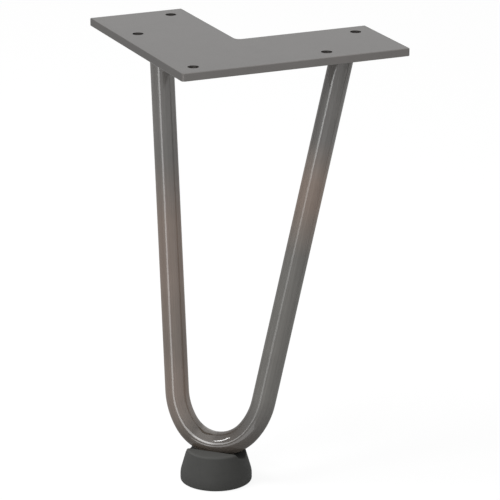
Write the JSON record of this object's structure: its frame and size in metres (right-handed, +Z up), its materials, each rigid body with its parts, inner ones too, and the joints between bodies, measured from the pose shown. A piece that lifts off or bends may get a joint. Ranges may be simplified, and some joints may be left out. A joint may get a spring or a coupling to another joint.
{
  "type": "hairpin table leg",
  "caption": "Short hairpin table leg: angled screw-on mounting plate, round steel rod bent into a leaning hairpin and welded under it, and a moulded floor foot under the bend.",
  "frame": {"origin": "middle of the foot's sole, on the floor", "axes": "+Z up to the mounting plate's upper face; +X across the two rods; +Y from the plate's outer corner towards its notch, the way the hairpin leans as it rises"},
  "size_m": [0.1692, 0.1191, 0.221],
  "materials": {
    "plate_steel": "satin clear-lacquered steel",
    "rod_steel": "glossy clear-lacquered steel",
    "weld_steel": "lacquered weld bead",
    "foot_plastic": "matte moulded, dark grey"
  },
  "bodies": {
    "root": {"mounting_plate": "plate_steel", "bent_rod": "rod_steel", "weld_left": "weld_steel", "weld_right": "weld_steel", "foot": "foot_plastic"}
  },
  "joints": []
}
